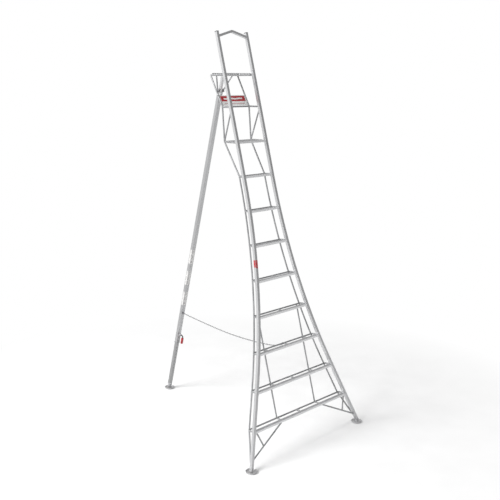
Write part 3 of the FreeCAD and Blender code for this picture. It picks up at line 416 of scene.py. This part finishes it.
def run_tree(name, base, tree, values):
    """Runs a Geometry Nodes tree on a base object and returns the plain mesh."""
    modifier = base.modifiers.new(name, "NODES")
    modifier.node_group = tree
    for item in tree.interface.items_tree:
        if item.item_type == "SOCKET" and item.in_out == "INPUT" and item.name in values:
            modifier[item.identifier] = values[item.name]
    bpy.context.view_layer.update()
    graph = bpy.context.evaluated_depsgraph_get()
    mesh = bpy.data.meshes.new_from_object(base.evaluated_get(graph), depsgraph=graph)
    mesh.name = name
    base.modifiers.remove(modifier)
    bpy.data.objects.remove(base)
    return new_object(name, mesh)


class Tree:
    """One Geometry Nodes tree with named inputs."""

    def __init__(self, name, inputs):
        self.group = bpy.data.node_groups.new(name, "GeometryNodeTree")
        interface = self.group.interface
        interface.new_socket("Geometry", in_out="INPUT", socket_type="NodeSocketGeometry")
        for label, kind in inputs.items():
            interface.new_socket(label, in_out="INPUT", socket_type="NodeSocket" + kind)
        interface.new_socket("Geometry", in_out="OUTPUT", socket_type="NodeSocketGeometry")
        self.start = self.group.nodes.new("NodeGroupInput").outputs
        self.end = self.group.nodes.new("NodeGroupOutput").inputs

    def node(self, kind, settings=None, **inputs):
        made = self.group.nodes.new(kind)
        for key, value in (settings or {}).items():
            setattr(made, key, value)
        for key, value in inputs.items():
            socket = made.inputs[key.replace("_", " ")]
            if isinstance(value, bpy.types.NodeSocket):
                self.group.links.new(value, socket)
            else:
                socket.default_value = value
        return made.outputs

    def finish(self, geometry, material):
        real = self.node("GeometryNodeRealizeInstances", Geometry=geometry)
        dressed = self.node("GeometryNodeSetMaterial", Geometry=real[0], Material=material)
        self.group.links.new(dressed[0], self.end[0])
        return self.group


# ---------------------------------------------------------------- settings

class LadderFinishSettings(bpy.types.PropertyGroup):
    aluminium: FloatVectorProperty(
        name="Aluminium", description="Colour of the satin extrusions", subtype="COLOR",
        default=(0.60, 0.603, 0.61), min=0, max=1)
    bar: FloatVectorProperty(
        name="Round bar", description="Colour of the mill-finished bars", subtype="COLOR",
        default=(0.36, 0.363, 0.37), min=0, max=1)
    foot: FloatVectorProperty(
        name="Feet", description="Colour of the pressed feet", subtype="COLOR",
        default=(0.62, 0.62, 0.63), min=0, max=1)
    zinc: FloatVectorProperty(
        name="Zinc", description="Colour of the plated steel", subtype="COLOR",
        default=(0.36, 0.36, 0.37), min=0, max=1)
    red: FloatVectorProperty(
        name="Red", description="Colour of the grip, the plate's panel and the sticker",
        subtype="COLOR", default=(0.40, 0.010, 0.018), min=0, max=1)


class LadderChainSettings(bpy.types.PropertyGroup):
    pitch: FloatProperty(
        name="Link pitch", description="Distance from one link to the next",
        subtype="DISTANCE", default=0.022, min=0.008, max=0.05)
    wire: FloatProperty(
        name="Wire radius", description="Radius of the links' wire",
        subtype="DISTANCE", default=0.002, min=0.0005, max=0.004)
    width: FloatProperty(
        name="Link width", description="Width across a link's wire centres",
        subtype="DISTANCE", default=0.0078, min=0.003, max=0.02)


class LadderWeldSettings(bpy.types.PropertyGroup):
    bead: FloatProperty(
        name="Bead", description="Thickness of the weld round a bar's end",
        subtype="DISTANCE", default=0.0016, min=0.0005, max=0.004)
    bumps: IntProperty(
        name="Ripples", description="Ripples round one weld", default=14, min=6, max=32)


# ---------------------------------------------------------------- pieces

class LADDER_OT_finishes(bpy.types.Operator):
    """Gives every CAD piece its finish"""
    bl_idname = "ladder.finishes"
    bl_label = "Finishes"

    def execute(self, context):
        look = context.scene.ladder_finish
        stile = extruded_aluminium("Stile aluminium", look.aluminium, "stile")
        # painted shade: the leg's copy of the aluminium is darkened to stand in for the shade on
        # its faces
        leg = extruded_aluminium("Leg aluminium painted shade", shade(look.aluminium, 0.78), "leg")
        # painted shade: the inner leg's copy is darker still, standing in for the shade on the
        # lower leg's front face
        inner = extruded_aluminium("Inner leg aluminium painted shade", shade(look.aluminium, 0.6), "leg",
                                   hollow=INNER_LEG_HOLLOW)
        # painted light: the rails' copy of the aluminium is brightened to stand in for the light
        # on the treads
        rail = extruded_aluminium("Rail aluminium painted light", shade(look.aluminium, 1.14), "rail", 0.42)
        bar = drawn_bar("Bar aluminium", look.bar)
        foot = pressed_foot("Foot aluminium", look.foot)
        zinc = zinc_plate("Zinc plate", look.zinc)
        bright = zinc_plate("Bright zinc", shade(look.zinc, 1.5))
        black = powder_black("Black powder coat", (0.02, 0.02, 0.02))
        plastic = moulded_plastic("Black plastic", (0.025, 0.025, 0.027))
        plate = enamel_plate("Enamel plate", (0.78, 0.78, 0.77, 1), shade(look.red, 1.0))
        finish_of = {
            "stile_aluminium": stile, "leg_aluminium": leg, "ribbed_aluminium": rail,
            "rod_aluminium": bar, "foot_aluminium": foot, "zinc_steel": bright,
            "zinc_chain": zinc, "black_steel": black, "black_plastic": plastic,
            "red_grip": black, "plate_enamel": plate}
        for row in frame["record"]["subparts"]:
            dress(row["node"], finish_of[row["material_slot"]])
        dress("inner_leg", inner)
        return {"FINISHED"}


# The chain's route from the third leg to the third tread: distance forward, height.
CHAIN_ROUTE = [
    (0.682, 0.855), (0.607, 0.846), (0.530, 0.838), (0.452, 0.831), (0.373, 0.8235),
    (0.294, 0.817), (0.214, 0.8105), (0.134, 0.805), (0.054, 0.801), (-0.027, 0.799),
    (-0.108, 0.798), (-0.188, 0.7995), (-0.267, 0.802), (-0.344, 0.805), (-0.419, 0.810),
    (-0.490, 0.817), (-0.553, 0.826), (-0.602, 0.839), (-0.630, 0.853)]
CLIP_OFFSET = 0.014


def chain_line():
    """The chain's centreline, drawn from the tread to the leg."""
    first, last = CHAIN_ROUTE[0][0], CHAIN_ROUTE[-1][0]
    curve = bpy.data.curves.new("ChainLine", "CURVE")
    curve.dimensions = "3D"
    spline = curve.splines.new("NURBS")
    spline.points.add(len(CHAIN_ROUTE) - 1)
    for point, (y, z) in zip(spline.points, CHAIN_ROUTE):
        x = CLIP_OFFSET * (y - first) / (first - last)
        point.co = (x, y, z, 1)
    spline.order_u = 3
    spline.use_endpoint_u = True
    spline.resolution_u = 12
    return new_object("ChainLine", curve)


def link_mesh(pitch, wire, width, material):
    """One welded chain link: a round wire bent to an oval."""
    work = bmesh.new()
    sides, half_turn = 8, 7
    bend = width / 2
    straight = (pitch + 2 * wire) / 2 - bend
    path = []
    for end in (1, -1):
        for step in range(half_turn):
            angle = -math.pi / 2 + math.pi * step / (half_turn - 1)
            out = Vector((end * math.cos(angle), end * math.sin(angle), 0))
            path.append((Vector((end * straight, 0, 0)) + out * bend, out))
    rings = []
    for centre, out in path:
        ring = []
        for side in range(sides):
            angle = math.tau * side / sides
            offset = out * math.cos(angle) + Vector((0, 0, 1)) * math.sin(angle)
            ring.append(work.verts.new(centre + offset * wire))
        rings.append(ring)
    for index, ring in enumerate(rings):
        after = rings[(index + 1) % len(rings)]
        for side in range(sides):
            nearby = (side + 1) % sides
            work.faces.new((ring[side], ring[nearby], after[nearby], after[side]))
    return mesh_object("ChainLink", work, material)


def math_step(tree, operation, socket, number):
    """One sum in a tree: a socket and a plain number."""
    made = tree.node("ShaderNodeMath", {"operation": operation})[0]
    tree.group.links.new(socket, made.node.inputs[0])
    made.node.inputs[1].default_value = number
    return made


def chain_tree(link, material):
    """Links along a curve, each turned a quarter from the one before."""
    tree = Tree("Chain", {"Pitch": "Float"})
    points = tree.node("GeometryNodeResampleCurve", {"mode": "LENGTH"},
                       Curve=tree.start["Geometry"], Length=tree.start["Pitch"])
    tangent = tree.node("GeometryNodeInputTangent")
    index = tree.node("GeometryNodeInputIndex")
    align = tree.node("FunctionNodeAlignRotationToVector", {"axis": "X"},
                      Vector=tangent["Tangent"])
    odd = math_step(tree, "MODULO", index[0], 2.0)
    angle = math_step(tree, "MULTIPLY", odd, math.pi / 2)
    slanted = math_step(tree, "ADD", angle, math.pi / 4)
    roll = tree.node("FunctionNodeAxisAngleToRotation", Axis=(1, 0, 0), Angle=slanted)
    turn = tree.node("FunctionNodeRotateRotation", {"rotation_space": "LOCAL"},
                     Rotation=align[0], Rotate_By=roll[0])
    source = tree.node("GeometryNodeObjectInfo", Object=link)
    placed = tree.node("GeometryNodeInstanceOnPoints", Points=points[0],
                       Instance=source["Geometry"], Rotation=turn[0])
    return tree.finish(placed[0], material)


class LADDER_OT_chain(bpy.types.Operator):
    """Makes the spreader chain from single links"""
    bl_idname = "ladder.chain"
    bl_label = "Spreader chain"

    def execute(self, context):
        form = context.scene.ladder_chain
        steel = bpy.data.materials["Zinc plate"]
        link = link_mesh(form.pitch, form.wire, form.width, steel)
        tree = chain_tree(link, steel)
        chain = run_tree("Chain_links", chain_line(), tree, {"Pitch": form.pitch})
        bpy.data.objects.remove(link)
        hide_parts("spreader_chain")
        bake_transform(chain)
        return {"FINISHED"}


def weld_places():
    """Every joint of a round bar with a stile, rail or bar: place, direction, bar radius."""
    places = []
    face = STILE_HALF / math.cos(LEAN)
    for level in range(1, TREAD_COUNT + 3):
        node = {9: "platform_rod", 10: "knee_frame", 11: "tray_frame"}.get(
            level, "tread_%d_rod" % level)
        low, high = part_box(node)
        height = (low[2] + high[2]) / 2
        for x in (low[0] + ROD_RADIUS, high[0] - ROD_RADIUS):
            places.append((Vector((x, slope_y(height) + face, height)),
                           Vector((0, 1, 0)), ROD_RADIUS))
    wide = (-TIE_PLACE, 0, TIE_PLACE)
    tie_xs = {1: wide, 2: wide, 3: wide, 4: (0,), 5: (0,)}
    for level, xs in tie_xs.items():
        height = node_middle("tread_%d" % level)[2]
        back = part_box("tread_%d" % level)[1][1]
        for x in xs:
            places.append((Vector((x, back, height)), Vector((0, 1, 0)), TIE_RADIUS))
    return places


def weld_tree(bead, material):
    tree = Tree("Welds", {})
    facing = tree.node("GeometryNodeInputNamedAttribute", {"data_type": "FLOAT_VECTOR"},
                       Name="facing")
    width = tree.node("GeometryNodeInputNamedAttribute", {"data_type": "FLOAT"}, Name="width")
    align = tree.node("FunctionNodeAlignRotationToVector", {"axis": "Z"},
                      Vector=facing["Attribute"])
    source = tree.node("GeometryNodeObjectInfo", Object=bead)
    points = tree.node("GeometryNodeMeshToPoints", Mesh=tree.start["Geometry"])
    placed = tree.node("GeometryNodeInstanceOnPoints", Points=points[0],
                       Instance=source["Geometry"], Rotation=align[0])
    scaled = tree.node("GeometryNodeScaleInstances", Instances=placed[0],
                       Scale=width["Attribute"])
    return tree.finish(scaled[0], material)


def bead_mesh(thickness, ripples, material):
    """A rippled ring that fits a bar of radius 1, to be scaled to the bar."""
    work = bmesh.new()
    around, section = ripples * 4, 6
    ratio = thickness / ROD_RADIUS
    rings = []
    for step in range(around):
        angle = math.tau * step / around
        swell = 1 + 0.22 * math.cos(angle * ripples)
        out = Vector((math.cos(angle), math.sin(angle), 0))
        ring = []
        for side in range(section):
            turn = math.tau * side / section
            reach = 1 + ratio * swell * math.cos(turn)
            ring.append(work.verts.new(out * reach
                                       + Vector((0, 0, ratio * swell * math.sin(turn)))))
        rings.append(ring)
    for index, ring in enumerate(rings):
        after = rings[(index + 1) % around]
        for side in range(section):
            nearby = (side + 1) % section
            work.faces.new((ring[side], after[side], after[nearby], ring[nearby]))
    return mesh_object("WeldBead", work, material)


class LADDER_OT_welds(bpy.types.Operator):
    """Lays a weld round the end of every round bar"""
    bl_idname = "ladder.welds"
    bl_label = "Welds"

    def execute(self, context):
        form = context.scene.ladder_weld
        metal = weld_metal("Weld metal", context.scene.ladder_finish.bar)
        places = weld_places()
        mesh = bpy.data.meshes.new("WeldPlaces")
        mesh.from_pydata([place for place, _, _ in places], [], [])
        mesh.attributes.new("facing", "FLOAT_VECTOR", "POINT")
        mesh.attributes.new("width", "FLOAT", "POINT")
        for index, (_, direction, radius) in enumerate(places):
            mesh.attributes["facing"].data[index].vector = direction
            mesh.attributes["width"].data[index].value = radius
        bead = bead_mesh(form.bead, form.bumps, metal)
        welds = run_tree("Bar_welds", new_object("WeldPlaces", mesh), weld_tree(bead, metal), {})
        bpy.data.objects.remove(bead)
        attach(welds, FRAME)
        return {"FINISHED"}


def grip_profile(length, radius, rod):
    """Half section of a dipped grip with shallow finger rings, from its closed end up."""
    points = [(0.0005, 0.0), (radius * 0.6, 0.0004), (radius * 0.9, 0.002), (radius, 0.005)]
    rings = 6
    for ring in range(rings * 4):
        along = 0.008 + (length - 0.016) * ring / (rings * 4 - 1)
        depth = 0.0007 * (1 - math.cos(math.tau * ring / 4)) / 2
        points.append((radius - depth, along))
    points += [(radius * 0.97, length - 0.003), (radius * 0.8, length - 0.0006),
               (rod + 0.0002, length)]
    return points


class LADDER_OT_grip(bpy.types.Operator):
    """Makes the ribbed red grip of the lock's pull handle"""
    bl_idname = "ladder.grip"
    bl_label = "Pull grip"

    def execute(self, context):
        look = context.scene.ladder_finish
        vinyl = dipped_vinyl("Red vinyl", look.red)
        low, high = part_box("pull_grip")
        radius = (high[0] - low[0]) / 2
        length = ((high[2] - low[2]) - 2 * radius * math.sin(LEAN)) / math.cos(LEAN)
        middle = node_middle("pull_grip")
        place = Matrix.Translation(middle) @ Matrix.Rotation(LEAN, 4, "X")
        place = place @ Matrix.Translation((0, 0, -length / 2))
        grip = lathe("Grip_ribbed", grip_profile(length, radius, 0.005), place, vinyl)
        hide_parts("pull_grip")
        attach(grip, "lock")
        return {"FINISHED"}


def sticker(name, place, width, height, material, thickness=0.0003, corner=0.003):
    """A thin sticker with rounded corners on a place's XZ plane, facing its -Y side."""
    work = bmesh.new()
    uv = work.loops.layers.uv.new("Label")
    outline = []
    for x_sign, z_sign, start in ((1, 1, 0), (-1, 1, 90), (-1, -1, 180), (1, -1, 270)):
        for step in range(4):
            angle = math.radians(start + 30 * step)
            outline.append((x_sign * (width / 2 - corner) + corner * math.cos(angle),
                            z_sign * (height / 2 - corner) + corner * math.sin(angle)))
    front = [work.verts.new((x, -thickness, z)) for x, z in outline]
    back = [work.verts.new((x, 0, z)) for x, z in outline]
    work.faces.new(front)
    work.faces.new(back)
    for index in range(len(outline)):
        after = (index + 1) % len(outline)
        work.faces.new((front[index], front[after], back[after], back[index]))
    for face in work.faces:
        for loop in face.loops:
            loop[uv].uv = (loop.vert.co.x / width + 0.5, loop.vert.co.z / height + 0.5)
    work.transform(place)
    return mesh_object(name, work, material, smooth=False)


class LADDER_OT_labels(bpy.types.Operator):
    """Puts plain printed stickers on the third leg and a red one on the left stile"""
    bl_idname = "ladder.labels"
    bl_label = "Labels"

    def execute(self, context):
        look = context.scene.ladder_finish
        pale, dark = (0.66, 0.66, 0.65, 1), (0.36, 0.34, 0.34, 1)
        paper = printed_label("Leg label", pale, dark, 3)
        side = Matrix.Rotation(math.radians(-90), 4, "Z")
        half_x, half_y = 0.020, 0.015
        labels = []
        for number, height in enumerate((1.46, 1.24, 1.02)):
            base = leg_matrix(height)
            place = base @ Matrix.Translation((0, -half_y, 0))
            labels.append(sticker("Label_front_%d" % number, place, 0.032, 0.15, paper))
            place = base @ Matrix.Translation((-half_x, 0, 0)) @ side
            labels.append(sticker("Label_side_%d" % number, place, 0.022, 0.15, paper))
        for label in labels:
            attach(label, LEG)
        warning = printed_label("Red label", shade(look.red, 1.0), (0.34, 0.2, 0.2, 1), 2)
        front = stile_front(-1, 1.595)
        outside = front @ Matrix.Translation((-STILE_HALF, STILE_HALF, 0))
        outside = outside @ Matrix.Rotation(math.radians(-90), 4, "Z")
        for name, place in (("Label_red_front", front), ("Label_red_side", outside)):
            red = sticker(name, place, 0.0235, 0.07, warning)
            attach(red, FRAME)
        return {"FINISHED"}


def stile_half_width(along):
    """Half distance between the stiles' centrelines at a place along the slope."""
    radius, angle, end, gap = 5.098, math.radians(19.86), 2.367, 0.1755
    below = max(end - along, 0)
    bent = min(below, radius * math.sin(angle))
    arc = radius - math.sqrt(radius ** 2 - bent ** 2)
    return gap + arc + (below - bent) * math.tan(angle)


def stile_front(side, height):
    """A place on the front face of a stile, with Z along the stile."""
    along = height / math.cos(LEAN)
    step = 0.01
    rise = (stile_half_width(along + step) - stile_half_width(along - step)) / (2 * step)
    turn = Matrix.Rotation(-LEAN, 4, "X") @ Matrix.Rotation(side * math.atan(rise), 4, "Y")
    centre = Vector((side * stile_half_width(along), slope_y(height), height))
    return Matrix.Translation(centre) @ turn @ Matrix.Translation((0, -STILE_HALF, 0))


# ---------------------------------------------------------------- studio

# The focal length is in units of the 500 wide frame; the two angles are in degrees.
SENSOR_WIDTH, FOCAL_LENGTH, FRAME_WIDTH = 36, 794.3, 500
CAMERA_PLACE = (-4.9323, -5.1495, 3.1142)
CAMERA_DIP, CAMERA_TURN = 11.932, -45.094


def studio_world():
    """A pale room: white to the camera, brighter on the left than on the right."""
    world = bpy.data.worlds.new("Studio")
    world.use_nodes = True
    tree = world.node_tree
    background = tree.nodes["Background"]
    output = tree.nodes["World Output"]
    place = tree.nodes.new("ShaderNodeTexCoord")
    bright = tree.nodes.new("ShaderNodeVectorMath")
    bright.operation = "DOT_PRODUCT"
    bright.inputs[1].default_value = (-0.75, 0.55, 0.35)
    tree.links.new(place.outputs["Generated"], bright.inputs[0])
    level = tree.nodes.new("ShaderNodeMapRange")
    level.inputs["From Min"].default_value = -1.0
    level.inputs["From Max"].default_value = 1.0
    level.inputs["To Min"].default_value = 0.22
    level.inputs["To Max"].default_value = 0.95
    tree.links.new(bright.outputs["Value"], level.inputs["Value"])
    tree.links.new(level.outputs[0], background.inputs["Strength"])
    background.inputs["Color"].default_value = (1, 1, 1, 1)
    white = tree.nodes.new("ShaderNodeBackground")
    white.inputs["Color"].default_value = (1, 1, 1, 1)
    white.inputs["Strength"].default_value = 1.0
    path = tree.nodes.new("ShaderNodeLightPath")
    mix = tree.nodes.new("ShaderNodeMixShader")
    tree.links.new(path.outputs["Is Camera Ray"], mix.inputs[0])
    tree.links.new(background.outputs[0], mix.inputs[1])
    tree.links.new(white.outputs[0], mix.inputs[2])
    tree.links.new(mix.outputs[0], output.inputs["Surface"])
    bpy.context.scene.world = world


def floor_material():
    """Pale floor paint with a faint mottle, which glows evenly white further out."""
    shader = Shader("Floor white")
    mottle = shader.noise(3, 3)
    base = shader.blend(shader.ramp(mottle, 0.3, 0.7), (0.86, 0.86, 0.86, 1),
                        (0.9, 0.9, 0.9, 1))
    shader.finish(base, 0.85 + mottle * 0.05)
    away = shader.node("ShaderNodeVectorMath", {"operation": "LENGTH"}, shader.place,
                       output="Value")
    glow = shader.tree.nodes.new("ShaderNodeEmission")
    mix = shader.tree.nodes.new("ShaderNodeMixShader")
    shader.feed(mix.inputs[0], shader.ramp(away, FLOOR_NEAR, FLOOR_FAR))
    shader.tree.links.new(shader.surface.outputs[0], mix.inputs[1])
    shader.tree.links.new(glow.outputs[0], mix.inputs[2])
    shader.tree.links.new(mix.outputs[0],
                          shader.tree.nodes["Material Output"].inputs["Surface"])
    return shader.material


def area_light(name, place, target, power, size):
    lamp = bpy.data.lights.new(name, "AREA")
    lamp.energy = power
    lamp.shape = "DISK"
    lamp.size = size
    made = bpy.data.objects.new(name, lamp)
    bpy.context.scene.collection.objects.link(made)
    made.location = place
    made.rotation_euler = (Vector(target) - Vector(place)).to_track_quat("-Z", "Y").to_euler()
    return made


class LADDER_OT_stage(bpy.types.Operator):
    """Sets the pale floor, the soft lights and the camera"""
    bl_idname = "ladder.stage"
    bl_label = "Stage"

    def execute(self, context):
        scene = context.scene
        scene.view_settings.view_transform = "Standard"
        work = bmesh.new()
        bmesh.ops.create_circle(work, cap_ends=True, radius=60, segments=64)
        floor = mesh_object("Floor", work, floor_material(), smooth=False)
        studio_world()
        area_light("Key", (-6, 1.5, 7.5), (0, 0, 1.2), 690, 4.5)
        area_light("Fill", (-3, -8, 5), (0, 0, 1.5), 60, 5)
        lens = bpy.data.cameras.new("Camera")
        lens.sensor_width = SENSOR_WIDTH
        lens.lens = SENSOR_WIDTH * FOCAL_LENGTH / FRAME_WIDTH
        camera = bpy.data.objects.new("Camera", lens)
        scene.collection.objects.link(camera)
        camera.location = CAMERA_PLACE
        camera.rotation_euler = (math.radians(90 - CAMERA_DIP), 0, math.radians(CAMERA_TURN))
        scene.camera = camera
        return {"FINISHED"}


class LADDER_PT_panel(bpy.types.Panel):
    bl_label = "Tripod ladder"
    bl_idname = "LADDER_PT_panel"
    bl_space_type = "VIEW_3D"
    bl_region_type = "UI"
    bl_category = "Ladder"

    def draw(self, context):
        scene = context.scene
        for settings in (scene.ladder_finish, scene.ladder_chain, scene.ladder_weld):
            for key in settings.__annotations__:
                self.layout.prop(settings, key)
        for operator in OPERATORS:
            self.layout.operator(operator.bl_idname)


OPERATORS = (LADDER_OT_finishes, LADDER_OT_chain, LADDER_OT_welds, LADDER_OT_grip,
             LADDER_OT_labels, LADDER_OT_stage)
SETTINGS = {"ladder_finish": LadderFinishSettings, "ladder_chain": LadderChainSettings,
            "ladder_weld": LadderWeldSettings}


def register():
    for group in SETTINGS.values():
        bpy.utils.register_class(group)
    for name, group in SETTINGS.items():
        setattr(bpy.types.Scene, name, PointerProperty(type=group))
    for operator in OPERATORS:
        bpy.utils.register_class(operator)
    bpy.utils.register_class(LADDER_PT_panel)


def unregister():
    bpy.utils.unregister_class(LADDER_PT_panel)
    for operator in reversed(OPERATORS):
        bpy.utils.unregister_class(operator)
    for name, group in SETTINGS.items():
        delattr(bpy.types.Scene, name)
        bpy.utils.unregister_class(group)


def main():
    register()
    bpy.ops.ladder.finishes()
    bpy.ops.ladder.chain()
    bpy.ops.ladder.welds()
    bpy.ops.ladder.grip()
    bpy.ops.ladder.labels()
    bpy.ops.ladder.stage()


if __name__ == "__main__":
    main()
